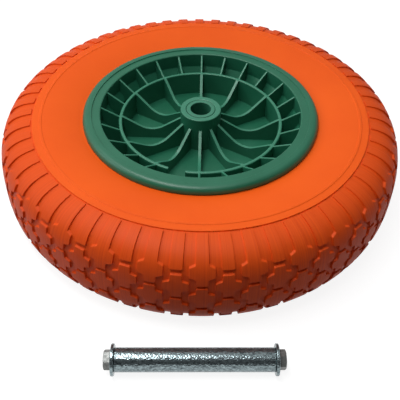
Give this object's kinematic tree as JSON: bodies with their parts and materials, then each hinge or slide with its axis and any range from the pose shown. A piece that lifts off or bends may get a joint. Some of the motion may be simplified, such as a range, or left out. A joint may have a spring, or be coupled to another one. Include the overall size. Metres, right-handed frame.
{
  "type": "wheelbarrow wheel",
  "caption": "Puncture-proof wheelbarrow wheel: an orange foamed tyre on a green ribbed plastic rim with a bushed hub, and its zinc-plated axle bar with washers and bolts.",
  "frame": {"origin": "middle of the hub's bore, on the wheel's middle plane", "axes": "+Z along the bore and up, with the wheel lying on its side; -Y towards the axle set that lies in front; +X along the axle set"},
  "size_m": [0.4, 0.4492, 0.091],
  "materials": {
    "tyre": "matt orange polyurethane foam with a smooth moulded skin",
    "rim": "moulded green plastic, semi-matt",
    "bush": "moulded grey-green plastic, semi-matt",
    "zinc": "zinc-coated steel with a mottled spangle",
    "bolt": "bright zinc-plated steel"
  },
  "bodies": {
    "root": {"tyre": "tyre", "rim": "rim", "bush_upper": "bush", "bush_lower": "bush", "axle_bar": "zinc", "washer_left": "zinc", "washer_right": "zinc", "bolt_left": "bolt", "bolt_right": "bolt"}
  },
  "joints": []
}
